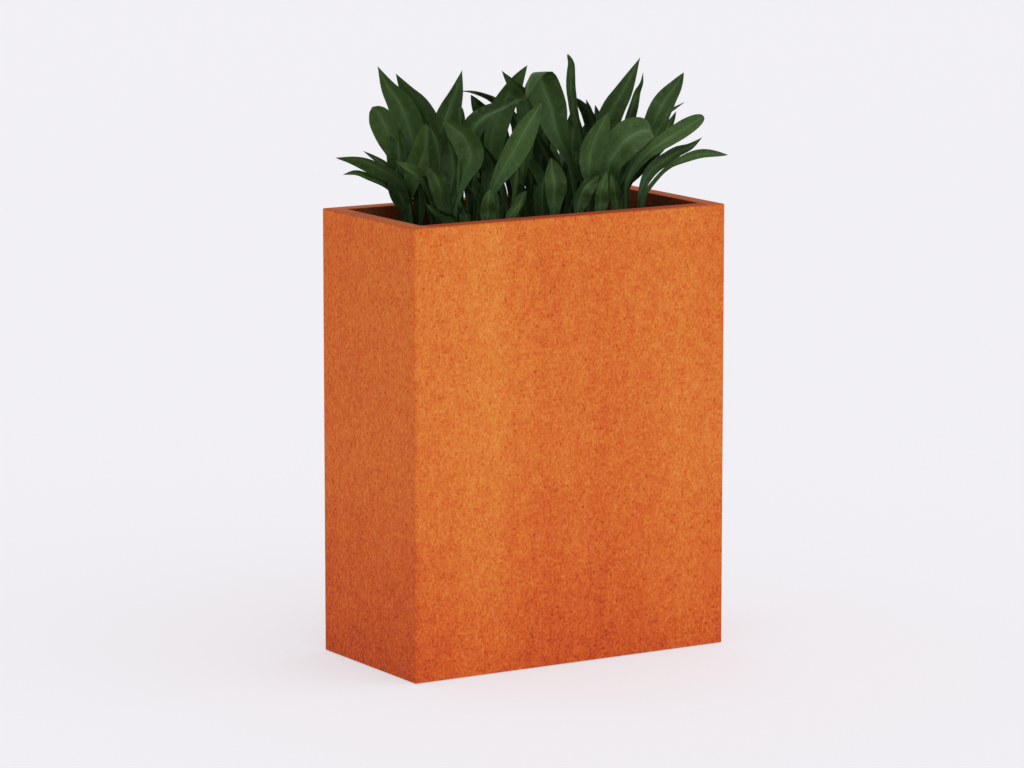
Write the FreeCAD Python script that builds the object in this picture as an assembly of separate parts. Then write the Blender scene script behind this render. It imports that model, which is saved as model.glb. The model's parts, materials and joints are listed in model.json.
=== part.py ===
import FreeCAD, Part

# Tall planter box in weathering steel, with a lift-out planting liner and screw-levelled feet.
#
# Millimetres: +Z up, the wide front face towards -Y, and the origin on the ground at the centre of the
# footprint. Each sub-part is written to parts/NODE.step.

import math
import os

V = FreeCAD.Vector

# --- the outer box --------------------------------------------------------------------------------
LENGTH = 800.0  # outside, along X
WIDTH = 400.0  # outside, along Y
HEIGHT = 1000.0  # ground to the top of the rim
SHEET = 3.0  # weathering steel sheet
RIM = 40.0  # how far the folded rim reaches inwards
LIP = 50.0  # how far the rim turns down inside
BEND = 3.5  # outside radius of the sheet's folds
CORNER = 1.0  # radius of the ground-off corner welds
GROUND_GAP = 2.0  # the box stands this far clear of the ground
WELD = 4.0  # leg of the fillet weld inside each corner
GUSSET = 30.0  # leg of the triangle under each rim corner

# --- the base: feet, angle frame and floor --------------------------------------------------------
PAD_RADIUS = 25.0
PAD_HEIGHT = 12.0
PAD_SKIRT = 6.0  # thickness of the pad's disc
PAD_BOSS_RADIUS = 11.0
JOURNAL_RADIUS = 5.0  # the stem turns in the pad on this
STEM_RADIUS = 6.0
STEM_TOP = 52.0
COLLAR = (12.3, 18.3)  # bottom and top of the stem's spanner flats
COLLAR_FLATS = 17.0
SOCKET_FLATS = 6.0
SOCKET_DEPTH = 6.0
RUNNING = 0.05  # radial clearance of a turning or threaded fit
NUT_FLATS = 19.0
NUT_BOTTOM = 19.0
BRACKET_BOTTOM = 29.0  # the nut's top
BRACKET = 6.0  # thickness of the foot brackets
BRACKET_SIDE = 77.0
FOOT_INSET = 50.0  # foot axis from each outside face
ANGLE_BOTTOM = BRACKET_BOTTOM + BRACKET
ANGLE_LEG = 30.0
ANGLE_SHEET = 3.0
FLOOR_BOTTOM = ANGLE_BOTTOM + ANGLE_SHEET
FLOOR_SHEET = 3.0
FLOOR_TOP = FLOOR_BOTTOM + FLOOR_SHEET
FLOOR_CLEARANCE = 3.0  # floor plate to the angle's upright leg
FLOOR_BOLT_X = 280.0
FLOOR_BOLT_INSET = 20.0
ANCHOR_X = 250.0  # ground anchor holes, each side of the centre
ANCHOR_Y = 60.0
ANCHOR_RADIUS = 6.0
DRAIN_RADIUS = 15.0
DRAIN_X = (-230.0, 0.0, 230.0)

# --- inside the box: stiffeners and the rails that carry the liner --------------------------------
STIFFENER_LENGTH = 700.0
STIFFENER_TOP = 330.0
RAIL_X = 200.0
RAIL_WIDTH = 40.0
RAIL_HEIGHT = 30.0
RAIL_WALL = 3.0
RAIL_TOP = 622.0
RAIL_END_GAP = 3.0
SUPPORT_LEG = 40.0  # angle brackets under the rails
SUPPORT_SHEET = 4.0
SUPPORT_WIDTH = 60.0
SUPPORT_BOLT_INSET = 28.0
PAD_STRIP = 3.0  # rubber between rails and liner
PAD_STRIP_LENGTH = 260.0

# --- M8 bolts -------------------------------------------------------------------------------------
BOLT_RADIUS = 4.0
BOLT_HOLE_RADIUS = 4.5
BOLT_HEAD = 5.3
BOLT_FLATS = 13.0
BOLT_NUT = 6.5
WASHER = 1.6
WASHER_RADIUS = 8.0

# --- the liner ------------------------------------------------------------------------------------
LINER_LENGTH = 700.0
LINER_WIDTH = 300.0
LINER_SHEET = 2.0
LINER_BOTTOM = RAIL_TOP + PAD_STRIP
LINER_TOP = 945.0
LINER_CORNER = 8.0
BAND = 5.0  # thickness of the stiffening band round the top
BAND_HEIGHT = 15.0
FILL_GAP = 0.5  # clay and soil to the liner's wall
CLAY_TOP = 687.0
FLEECE = 2.0
SOIL_TOP = 910.0

HANDLE_ROD = 4.0  # radius of the bail handles' rod
HANDLE_PIVOT_X = 338.0
HANDLE_PIVOT_Z = 923.0
HANDLE_REACH = 60.0
HANDLE_GRIP_GAP = 0.4  # the grip lies this far above the soil
HANDLE_LEG_Y = 40.0
HANDLE_PIN_END = 54.0
HANDLE_BEND = 6.0
HANDLE_GRIP_BEND = 14.0
LUG_Y = 47.0  # inner face of each lug
LUG_SHEET = 4.0
LUG_RADIUS = 11.0

STANDPIPE_XY = (-300.0, 110.0)
STANDPIPE_RADIUS = 12.5
STANDPIPE_BORE = 10.5
SPIGOT_RADIUS = 12.0  # plain end below the thread, for a drain hose
SPIGOT_BOTTOM = 590.0
SPIGOT_TOP = 614.0
STANDPIPE_TOP = 675.0
STANDPIPE_FLANGE = 20.0
STANDPIPE_FLANGE_SHEET = 3.0
BACKNUT_HEIGHT = 8.0
BACKNUT_FLATS = 36.0
STRAINER_RADIUS = 15.5
STRAINER_TOP = 680.0
STRAINER_DEPTH = 14.0
STRAINER_HOLES = 6
STRAINER_HOLE_RADIUS = 1.5
STRAINER_RING = 7.0  # radius of the circle of holes

# --- plants: plain envelopes of the foliage, rooted in the soil -----------------------------------
CLUMP_PITCH = 94.0
CLUMP_COUNT = 6
# height, half-size along X, half-size along Y of an inner clump
INNER_SECTIONS = [
    (SOIL_TOP, 28.0, 60.0),
    (1004.0, 34.0, 90.0),
    (1100.0, 44.0, 205.0),
    (1240.0, 44.0, 205.0),
    (1330.0, 18.0, 60.0),
]
# height, inner and outer edge along X, half-size along Y of an end clump, which leans out over the rim
END_SECTIONS = [
    (SOIL_TOP, 207.0, 263.0, 60.0),
    (1004.0, 200.0, 268.0, 90.0),
    (1090.0, 191.0, 430.0, 170.0),
    (1190.0, 191.0, 490.0, 170.0),
    (1300.0, 210.0, 320.0, 80.0),
]

OUT = "parts"
EPS = 1e-6


# --- helpers --------------------------------------------------------------------------------------
def save(name, *solids):
    """Writes one node, a single solid or a group of separate ones."""
    shape = solids[0] if len(solids) == 1 else Part.makeCompound(list(solids))
    for solid in shape.Solids:
        assert solid.isValid() and solid.Volume > 0, name
    shape.exportStep(os.path.join(OUT, name + ".step"))


def block(x0, x1, y0, y1, z0, z1):
    return Part.makeBox(x1 - x0, y1 - y0, z1 - z0, V(x0, y0, z0))


def cylinder(radius, z0, z1, x=0.0, y=0.0):
    return Part.makeCylinder(radius, z1 - z0, V(x, y, z0))


def prism(points, z0, z1):
    """A plan outline of (x, y) corners, extruded from z0 to z1."""
    wire = Part.makePolygon([V(x, y, z0) for x, y in [*points, points[0]]])
    return Part.Face(wire).extrude(V(0, 0, z1 - z0))


def hexagon(flats, z0, z1, x=0.0, y=0.0):
    radius = flats / math.sqrt(3)
    corners = [math.radians(60 * i) for i in range(6)]
    return prism([(x + radius * math.cos(a), y + radius * math.sin(a)) for a in corners], z0, z1)


def rounded_block(half_x, half_y, z0, z1, radius):
    """A block about the Z axis with rounded upright edges."""
    solid = block(-half_x, half_x, -half_y, half_y, z0, z1)
    upright = [e for e in solid.Edges if abs(e.tangentAt(e.FirstParameter).z) > 1 - EPS]
    return solid.makeFillet(radius, upright)


def outline(corners, place):
    """A closed wire through corners (a, b, radius), each rounded; place turns (a, b) into a point."""
    count = len(corners)
    starts, ends, arcs = [], [], []
    for i, (a, b, radius) in enumerate(corners):
        here = V(a, b, 0)
        before = V(*corners[i - 1][:2], 0) - here
        after = V(*corners[(i + 1) % count][:2], 0) - here
        before.normalize()
        after.normalize()
        if radius <= 0:
            starts.append(here)
            ends.append(here)
            arcs.append(None)
            continue
        half = before.getAngle(after) / 2
        trim = radius / math.tan(half)
        middle = before + after
        middle.normalize()
        starts.append(here + before * trim)
        ends.append(here + after * trim)
        arcs.append(here + middle * (radius / math.sin(half) - radius))
    edges = []
    for i in range(count):
        if arcs[i] is not None:
            through = [place(p.x, p.y) for p in (starts[i], arcs[i], ends[i])]
            edges.append(Part.Arc(*through).toShape())
        nxt = starts[(i + 1) % count]
        if (nxt - ends[i]).Length > EPS:
            edges.append(Part.LineSegment(place(ends[i].x, ends[i].y), place(nxt.x, nxt.y)).toShape())
    return Part.Wire(edges)


def bar_along_x(corners, length, y0, z0, inward=1):
    """A section of (inward, up) corners extruded along X, standing against the plane y = y0."""
    wire = outline(corners, lambda a, b: V(-length / 2, y0 + inward * a, z0 + b))
    return Part.Face(wire).extrude(V(length, 0, 0))


def turned(solid, degrees):
    """The solid turned about the Z axis, as a copy."""
    copy = solid.copy()
    copy.rotate(V(0, 0, 0), V(0, 0, 1), degrees)
    return copy


def angle_section(leg, sheet, up):
    """An equal angle: one leg upright on the wall, the other at the bottom (up=1) or the top (up=-1)."""
    corners = [(0, 0, 0), (leg, 0, 0), (leg, sheet, 1.0), (sheet, sheet, 2.0), (sheet, leg, 1.0), (0, leg, 0)]
    return [(a, b * up, radius) for a, b, radius in corners]


def four_corners(x, y):
    """(name, x, y) at the front left, front right, rear left and rear right."""
    sides = [("front_left", -1, -1), ("front_right", 1, -1), ("rear_left", -1, 1), ("rear_right", 1, 1)]
    return [(name, sx * x, sy * y) for name, sx, sy in sides]


# --- the outer box --------------------------------------------------------------------------------
def wall_panel(length, offset):
    """One wall with its folded rim and lip, facing -Y, with its ends cut to 45 degree mitres."""
    inner = BEND - SHEET
    section = [
        (0, GROUND_GAP, 0),
        (0, HEIGHT, BEND),
        (RIM, HEIGHT, BEND),
        (RIM, HEIGHT - LIP, 1.0),
        (RIM - SHEET, HEIGHT - LIP, 1.0),
        (RIM - SHEET, HEIGHT - SHEET, inner),
        (SHEET, HEIGHT - SHEET, inner),
        (SHEET, GROUND_GAP, 0),
    ]
    half = length / 2
    panel = bar_along_x(section, length, -offset, 0)
    plan = [(-half, -offset), (half, -offset), (half - RIM, RIM - offset), (RIM - half, RIM - offset)]
    return panel.common(prism(plan, 0, HEIGHT))


def build_box():
    outer = rounded_block(LENGTH / 2, WIDTH / 2, 0, HEIGHT, CORNER)
    long_wall = wall_panel(LENGTH, WIDTH / 2)
    short_wall = wall_panel(WIDTH, LENGTH / 2)
    save("front_panel", long_wall.common(outer).Solids[0])
    save("rear_panel", turned(long_wall, 180).common(outer).Solids[0])
    save("left_panel", turned(short_wall, -90).common(outer).Solids[0])
    save("right_panel", turned(short_wall, 90).common(outer).Solids[0])

    half_x, half_y = LENGTH / 2 - SHEET, WIDTH / 2 - SHEET
    weld_low, weld_high = ANGLE_BOTTOM + ANGLE_LEG + 5, HEIGHT - SHEET - 7
    welds, gussets = [], []
    clear = BEND - SHEET + 1  # keeps the gusset off the fold's inside radius
    for _, x, y in four_corners(half_x, half_y):
        sx, sy = math.copysign(1, x), math.copysign(1, y)
        welds.append(prism([(x, y), (x - sx * WELD, y), (x, y - sy * WELD)], weld_low, weld_high))
        gx, gy = x - sx * clear, y - sy * clear
        corner = [(gx, gy), (gx - sx * GUSSET, gy), (gx, gy - sy * GUSSET)]
        gussets.append(prism(corner, HEIGHT - 2 * SHEET, HEIGHT - SHEET))
    save("corner_welds", *welds)
    save("rim_gussets", *gussets)


# --- base -----------------------------------------------------------------------------------------
def build_base():
    half_x, half_y = LENGTH / 2, WIDTH / 2
    section = angle_section(ANGLE_LEG, ANGLE_SHEET, 1)
    long_angle = bar_along_x(section, LENGTH - 2 * SHEET, SHEET - half_y, ANGLE_BOTTOM)
    short_length = WIDTH - 2 * SHEET - 2 * ANGLE_LEG
    short_angle = bar_along_x(section, short_length, SHEET - half_x, ANGLE_BOTTOM)
    bolt_holes = four_corners(FLOOR_BOLT_X, half_y - FLOOR_BOLT_INSET)
    for _, x, y in bolt_holes[:2]:
        long_angle = long_angle.cut(cylinder(BOLT_HOLE_RADIUS, ANGLE_BOTTOM - 1, FLOOR_BOTTOM + 1, x, y))
    save("base_angle_front", long_angle)
    save("base_angle_rear", turned(long_angle, 180))
    save("base_angle_left", turned(short_angle, -90))
    save("base_angle_right", turned(short_angle, 90))

    inset = SHEET + ANGLE_SHEET + FLOOR_CLEARANCE
    floor = block(inset - half_x, half_x - inset, inset - half_y, half_y - inset, FLOOR_BOTTOM, FLOOR_TOP)
    holes = [(BOLT_HOLE_RADIUS, x, y) for _, x, y in bolt_holes]
    holes += [(ANCHOR_RADIUS, x, y) for _, x, y in four_corners(ANCHOR_X, ANCHOR_Y)]
    holes += [(DRAIN_RADIUS, x, 0) for x in DRAIN_X]
    holes += [(STEM_RADIUS + 3, x, y) for _, x, y in four_corners(half_x - FOOT_INSET, half_y - FOOT_INSET)]
    for radius, x, y in holes:
        floor = floor.cut(cylinder(radius, FLOOR_BOTTOM - 1, FLOOR_TOP + 1, x, y))
    save("floor_plate", floor)

    bolts, nuts = [], []
    for _, x, y in bolt_holes:
        bolts.append(bolt(x, y, FLOOR_TOP + WASHER, FLOOR_TOP + WASHER - 20, WASHER))
        nuts.append(nut(x, y, ANGLE_BOTTOM - BOLT_NUT))
    save("floor_bolts", *bolts)
    save("floor_nuts", *nuts)
    build_feet()


def bolt(x, y, seat, tip, washer):
    """An M8 bolt on a washer; its head sits on the plane z = seat and its shank runs to tip, up or down."""
    away = math.copysign(1, seat - tip)
    head = sorted((seat, seat + away * BOLT_HEAD))
    under = sorted((seat, seat - away * washer))
    shank = sorted((seat + away, tip))
    body = hexagon(BOLT_FLATS, *head, x, y).fuse(cylinder(WASHER_RADIUS, *under, x, y))
    return body.fuse(cylinder(BOLT_RADIUS, *shank, x, y)).removeSplitter()


def nut(x, y, z0):
    body = hexagon(BOLT_FLATS, z0, z0 + BOLT_NUT, x, y)
    return body.cut(cylinder(BOLT_RADIUS + RUNNING, z0 - 1, z0 + BOLT_NUT + 1, x, y))


def foot_pad(x, y):
    pad = cylinder(PAD_RADIUS, 0, PAD_SKIRT, x, y)
    rims = [e for e in pad.Edges if isinstance(e.Curve, Part.Circle)]
    pad = pad.makeFillet(1.5, [e for e in rims if e.Curve.Center.z > EPS])
    pad = pad.fuse(cylinder(PAD_BOSS_RADIUS, PAD_SKIRT - 1, PAD_HEIGHT, x, y)).removeSplitter()
    return pad.cut(cylinder(JOURNAL_RADIUS + RUNNING, PAD_SKIRT, PAD_HEIGHT + 1, x, y))


def foot_stem(x, y):
    low, high = COLLAR
    stem = cylinder(JOURNAL_RADIUS, PAD_SKIRT + 0.3, low + 1, x, y)
    stem = stem.fuse(hexagon(COLLAR_FLATS, low, high, x, y))
    stem = stem.fuse(cylinder(STEM_RADIUS, high - 1, STEM_TOP, x, y)).removeSplitter()
    return stem.cut(hexagon(SOCKET_FLATS, STEM_TOP - SOCKET_DEPTH, STEM_TOP + 1, x, y))


def foot_bracket(x, y):
    """A square plate in the corner of the box, with its outer corner clipped to clear the weld."""
    sx, sy = math.copysign(1, x), math.copysign(1, y)
    ox, oy = sx * (LENGTH / 2 - SHEET), sy * (WIDTH / 2 - SHEET)
    ix, iy = ox - sx * BRACKET_SIDE, oy - sy * BRACKET_SIDE
    clip = 2 * WELD
    plan = [(ox - sx * clip, oy), (ix, oy), (ix, iy), (ox, iy), (ox, oy - sy * clip)]
    plate = prism(plan, BRACKET_BOTTOM, ANGLE_BOTTOM)
    return plate.cut(cylinder(STEM_RADIUS + 0.5, BRACKET_BOTTOM - 1, ANGLE_BOTTOM + 1, x, y))


def build_feet():
    brackets, nuts = [], []
    for name, x, y in four_corners(LENGTH / 2 - FOOT_INSET, WIDTH / 2 - FOOT_INSET):
        save("foot_pad_" + name, foot_pad(x, y))
        save("foot_stem_" + name, foot_stem(x, y))
        brackets.append(foot_bracket(x, y))
        body = hexagon(NUT_FLATS, NUT_BOTTOM, BRACKET_BOTTOM, x, y)
        nuts.append(body.cut(cylinder(STEM_RADIUS + RUNNING, NUT_BOTTOM - 1, BRACKET_BOTTOM + 1, x, y)))
    save("foot_brackets", *brackets)
    save("foot_nuts", *nuts)


# --- inside the box -------------------------------------------------------------------------------
def build_supports():
    wall_y = WIDTH / 2 - SHEET
    section = angle_section(ANGLE_LEG, ANGLE_SHEET, -1)
    stiffener = bar_along_x(section, STIFFENER_LENGTH, -wall_y, STIFFENER_TOP)
    save("front_stiffener", stiffener)
    save("rear_stiffener", turned(stiffener, 180))

    bottom = RAIL_TOP - RAIL_HEIGHT
    length = 2 * (wall_y - RAIL_END_GAP)
    bolt_y = wall_y - SUPPORT_BOLT_INSET
    outside = box_corners(RAIL_WIDTH, RAIL_HEIGHT, 0, 4.0)
    inside = box_corners(RAIL_WIDTH, RAIL_HEIGHT, RAIL_WALL, 1.0)
    solid, hollow = (bar_along_x(corners, length, -RAIL_WIDTH / 2, bottom) for corners in (outside, inside))
    rail = turned(solid.cut(hollow), 90)
    for y in (-bolt_y, bolt_y):
        rail = rail.cut(cylinder(BOLT_HOLE_RADIUS, bottom - 1, bottom + RAIL_WALL + 1, 0, y))

    section = angle_section(SUPPORT_LEG, SUPPORT_SHEET, -1)
    under = bottom - SUPPORT_SHEET
    brackets, bolts, nuts = [], [], []
    for side, x in (("left", -RAIL_X), ("right", RAIL_X)):
        placed = rail.copy()
        placed.translate(V(x, 0, 0))
        save("liner_rail_" + side, placed)
        half = RAIL_WIDTH / 2
        reach = PAD_STRIP_LENGTH / 2
        strip = block(x - half, x + half, -reach, reach, RAIL_TOP, LINER_BOTTOM)
        save("liner_pad_" + side, strip)
        for angle, y in ((0, -bolt_y), (180, bolt_y)):
            support = turned(bar_along_x(section, SUPPORT_WIDTH, -wall_y, bottom), angle)
            support.translate(V(x, 0, 0))
            brackets.append(support.cut(cylinder(BOLT_HOLE_RADIUS, under - 1, bottom + 1, x, y)))
            bolts.append(bolt(x, y, under - WASHER, bottom + 12, WASHER))
            nuts.append(nut(x, y, bottom + RAIL_WALL))
    save("rail_brackets", *brackets)
    save("rail_bolts", *bolts)
    save("rail_nuts", *nuts)


def box_corners(width, height, wall, radius):
    """A rectangle's four corners, inset by wall and rounded."""
    corners = [(wall, wall), (width - wall, wall), (width - wall, height - wall), (wall, height - wall)]
    return [(a, b, radius) for a, b in corners]


# --- liner ----------------------------------------------------------------------------------------
def build_liner():
    half_x, half_y = LINER_LENGTH / 2, LINER_WIDTH / 2
    floor = LINER_BOTTOM + LINER_SHEET
    outer = rounded_block(half_x, half_y, LINER_BOTTOM, LINER_TOP, LINER_CORNER)
    inner_corner = LINER_CORNER - LINER_SHEET
    inner = rounded_block(half_x - LINER_SHEET, half_y - LINER_SHEET, floor, LINER_TOP + 1, inner_corner)
    outlet = cylinder(STANDPIPE_RADIUS + 0.2, LINER_BOTTOM - 1, floor + 1, *STANDPIPE_XY)
    save("liner_tub", outer.cut(inner).cut(outlet))

    band_low = LINER_TOP - BAND_HEIGHT
    band = rounded_block(half_x + BAND, half_y + BAND, band_low, LINER_TOP, LINER_CORNER + BAND)
    band = band.cut(rounded_block(half_x, half_y, band_low - 1, LINER_TOP + 1, LINER_CORNER))
    save("liner_rim_band", band)

    fill_x, fill_y = half_x - LINER_SHEET - FILL_GAP, half_y - LINER_SHEET - FILL_GAP
    layers = [
        ("clay_layer", floor, CLAY_TOP),
        ("filter_fleece", CLAY_TOP, CLAY_TOP + FLEECE),
        ("soil", CLAY_TOP + FLEECE, SOIL_TOP),
    ]
    for name, low, high in layers:
        layer = rounded_block(fill_x, fill_y, low, high, inner_corner)
        if name == "clay_layer":
            layer = layer.cut(cylinder(STANDPIPE_FLANGE + FILL_GAP, low - 1, high + 1, *STANDPIPE_XY))
        save(name, layer)
    build_pipes(floor)
    build_handles()


def build_pipes(floor):
    pipe = cylinder(SPIGOT_RADIUS, SPIGOT_BOTTOM, STANDPIPE_TOP, *STANDPIPE_XY)
    pipe = pipe.fuse(cylinder(STANDPIPE_RADIUS, SPIGOT_TOP, STANDPIPE_TOP, *STANDPIPE_XY))
    pipe = pipe.fuse(cylinder(STANDPIPE_FLANGE, floor, floor + STANDPIPE_FLANGE_SHEET, *STANDPIPE_XY))
    bore = cylinder(STANDPIPE_BORE, SPIGOT_BOTTOM - 1, STANDPIPE_TOP + 1, *STANDPIPE_XY)
    save("standpipe", pipe.removeSplitter().cut(bore))
    nut_low = LINER_BOTTOM - BACKNUT_HEIGHT
    backnut = hexagon(BACKNUT_FLATS, nut_low, LINER_BOTTOM, *STANDPIPE_XY)
    bore = cylinder(STANDPIPE_RADIUS + RUNNING, nut_low - 1, LINER_BOTTOM + 1, *STANDPIPE_XY)
    save("standpipe_backnut", backnut.cut(bore))

    skirt = STRAINER_TOP - STRAINER_DEPTH
    strainer = cylinder(STRAINER_RADIUS, skirt, STRAINER_TOP, *STANDPIPE_XY)
    strainer = strainer.cut(cylinder(STANDPIPE_RADIUS + RUNNING, skirt - 1, STANDPIPE_TOP, *STANDPIPE_XY))
    for i in range(STRAINER_HOLES):
        ring = V(STRAINER_RING, 0, 0)
        ring = FreeCAD.Rotation(V(0, 0, 1), 360 * i / STRAINER_HOLES).multVec(ring)
        x, y = STANDPIPE_XY[0] + ring.x, STANDPIPE_XY[1] + ring.y
        strainer = strainer.cut(cylinder(STRAINER_HOLE_RADIUS, STANDPIPE_TOP - 1, STRAINER_TOP + 1, x, y))
    save("strainer_cap", strainer)


def bail_handle(side):
    """A bent rod lying on the soil: a pin in each lug, two legs and a grip. side is -1 left, 1 right."""
    pivot = V(side * HANDLE_PIVOT_X, 0, HANDLE_PIVOT_Z)
    grip = V(side * (HANDLE_PIVOT_X - HANDLE_REACH), 0, SOIL_TOP + HANDLE_GRIP_GAP + HANDLE_ROD)
    leg, pin = V(0, HANDLE_LEG_Y, 0), V(0, HANDLE_PIN_END, 0)
    route = [
        (pivot - pin, 0),
        (pivot - leg, HANDLE_BEND),
        (grip - leg, HANDLE_GRIP_BEND),
        (grip + leg, HANDLE_GRIP_BEND),
        (pivot + leg, HANDLE_BEND),
        (pivot + pin, 0),
    ]
    ring = Part.Wire(Part.makeCircle(HANDLE_ROD, pivot - pin, V(0, 1, 0)))
    return open_path(route).makePipeShell([ring], True, True)


def open_path(stops):
    """Straight runs through the stops (point, radius), joined by tangent arcs of each stop's radius."""
    edges, last = [], stops[0][0]
    for i in range(1, len(stops) - 1):
        here, radius = stops[i]
        back, on = stops[i - 1][0] - here, stops[i + 1][0] - here
        back.normalize()
        on.normalize()
        half = back.getAngle(on) / 2
        trim = radius / math.tan(half)
        middle = back + on
        middle.normalize()
        start, end = here + back * trim, here + on * trim
        edges.append(Part.LineSegment(last, start).toShape())
        through = here + middle * (radius / math.sin(half) - radius)
        edges.append(Part.Arc(start, through, end).toShape())
        last = end
    edges.append(Part.LineSegment(last, stops[-1][0]).toShape())
    return Part.Wire(edges)


def handle_lug(side, y):
    """A plate welded to the liner's end wall, rounded about the pin it holds."""
    wall, pivot = side * (LINER_LENGTH / 2 - LINER_SHEET), side * HANDLE_PIVOT_X
    low, high = HANDLE_PIVOT_Z - LUG_RADIUS, HANDLE_PIVOT_Z + LUG_RADIUS
    plate = block(*sorted((wall, pivot)), y, y + LUG_SHEET, low, high)
    inside = block(*sorted((wall, 0)), y, y + LUG_SHEET, low, high)
    eye = Part.makeCylinder(LUG_RADIUS, LUG_SHEET, V(pivot, y, HANDLE_PIVOT_Z), V(0, 1, 0))
    hole_radius = HANDLE_ROD + RUNNING
    hole = Part.makeCylinder(hole_radius, LUG_SHEET + 2, V(pivot, y - 1, HANDLE_PIVOT_Z), V(0, 1, 0))
    return plate.fuse(eye.common(inside)).removeSplitter().cut(hole)


def build_handles():
    lugs = []
    for name, side in (("left", -1), ("right", 1)):
        save("handle_" + name, bail_handle(side))
        lugs += [handle_lug(side, y) for y in (-LUG_Y - LUG_SHEET, LUG_Y)]
    save("handle_lugs", *lugs)


# --- plants ---------------------------------------------------------------------------------------
def oval(z, centre_x, half_x, half_y):
    """A level ellipse, longer along Y, as a closed wire."""
    wire = Part.Wire(Part.Ellipse(V(0, 0, 0), half_y, half_x).toShape())
    wire.rotate(V(0, 0, 0), V(0, 0, 1), 90)
    wire.translate(V(centre_x, 0, z))
    return wire


def build_plants():
    for i in range(CLUMP_COUNT):
        x = (i - (CLUMP_COUNT - 1) / 2) * CLUMP_PITCH
        sections = [oval(z, x, half_x, half_y) for z, half_x, half_y in INNER_SECTIONS]
        if i in (0, CLUMP_COUNT - 1):
            side = math.copysign(1, x)
            ends = [(z, side * (near + far) / 2, (far - near) / 2, y) for z, near, far, y in END_SECTIONS]
            sections = [oval(*end) for end in ends]
        save(f"foliage_clump_{i + 1}", Part.makeLoft(sections, True, True))


os.makedirs(OUT, exist_ok=True)
build_box()
build_base()
build_supports()
build_liner()
build_plants()
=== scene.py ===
import json
import math
import random

import bpy
import numpy as np
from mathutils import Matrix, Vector, noise


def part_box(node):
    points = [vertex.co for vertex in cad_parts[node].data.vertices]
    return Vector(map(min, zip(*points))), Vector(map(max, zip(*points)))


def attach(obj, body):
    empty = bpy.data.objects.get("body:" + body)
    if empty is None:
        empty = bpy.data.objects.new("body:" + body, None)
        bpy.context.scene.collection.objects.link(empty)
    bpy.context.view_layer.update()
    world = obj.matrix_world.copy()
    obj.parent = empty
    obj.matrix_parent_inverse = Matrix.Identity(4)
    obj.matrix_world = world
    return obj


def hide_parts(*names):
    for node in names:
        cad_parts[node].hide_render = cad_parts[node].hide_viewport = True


# A tall weathering-steel planter full of dark green strap leaves. Metres, +Z up, the wide front face
# towards -Y. Steel, feet, rails and liner are the CAD nodes with new materials; the soil and the six
# foliage clumps are replaced by modelled soil and leaves.

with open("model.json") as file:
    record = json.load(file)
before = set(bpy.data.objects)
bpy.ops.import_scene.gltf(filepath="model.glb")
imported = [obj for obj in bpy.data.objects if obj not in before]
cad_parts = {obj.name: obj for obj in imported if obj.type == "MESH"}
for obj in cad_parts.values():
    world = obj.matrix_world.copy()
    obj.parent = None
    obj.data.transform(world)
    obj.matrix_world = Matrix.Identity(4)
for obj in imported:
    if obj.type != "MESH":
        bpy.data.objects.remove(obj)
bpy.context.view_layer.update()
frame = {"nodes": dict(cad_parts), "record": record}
nodes = frame["nodes"]

# --- places taken from the frame ------------------------------------------------------------------
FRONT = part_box("front_panel")
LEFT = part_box("left_panel")
LOW = Vector((LEFT[0].x, FRONT[0].y, 0.0))
HIGH = Vector((-LOW.x, -LOW.y, FRONT[1].z))
OPENING_X = -LEFT[1].x  # half the length of the opening inside the folded rim
OPENING_Y = -FRONT[1].y  # half its width
HALF_SHEET = 0.0015  # half the steel's thickness
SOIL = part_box("soil")
SOIL_TOP = SOIL[1].z
CLUMPS = sorted(name for name in nodes if name.startswith("foliage_clump_"))
CLUMP_X = {name: (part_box(name)[0].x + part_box(name)[1].x) / 2 for name in CLUMPS}

# --- the view -------------------------------------------------------------------------------------
AZIMUTH = math.radians(-31.47)  # from straight in front, negative towards the left
ELEVATION = math.radians(9.55)
DISTANCE = 10.955
LENS = 172.4  # millimetres, as is the sensor's width
SENSOR = 36.0
AIM_RIGHT = -0.0273  # where the camera aims, from the middle of the box
AIM_UP = 0.0979
FAR = 200.0  # how far the camera sees, which takes in the whole floor

SEED = 7


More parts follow.
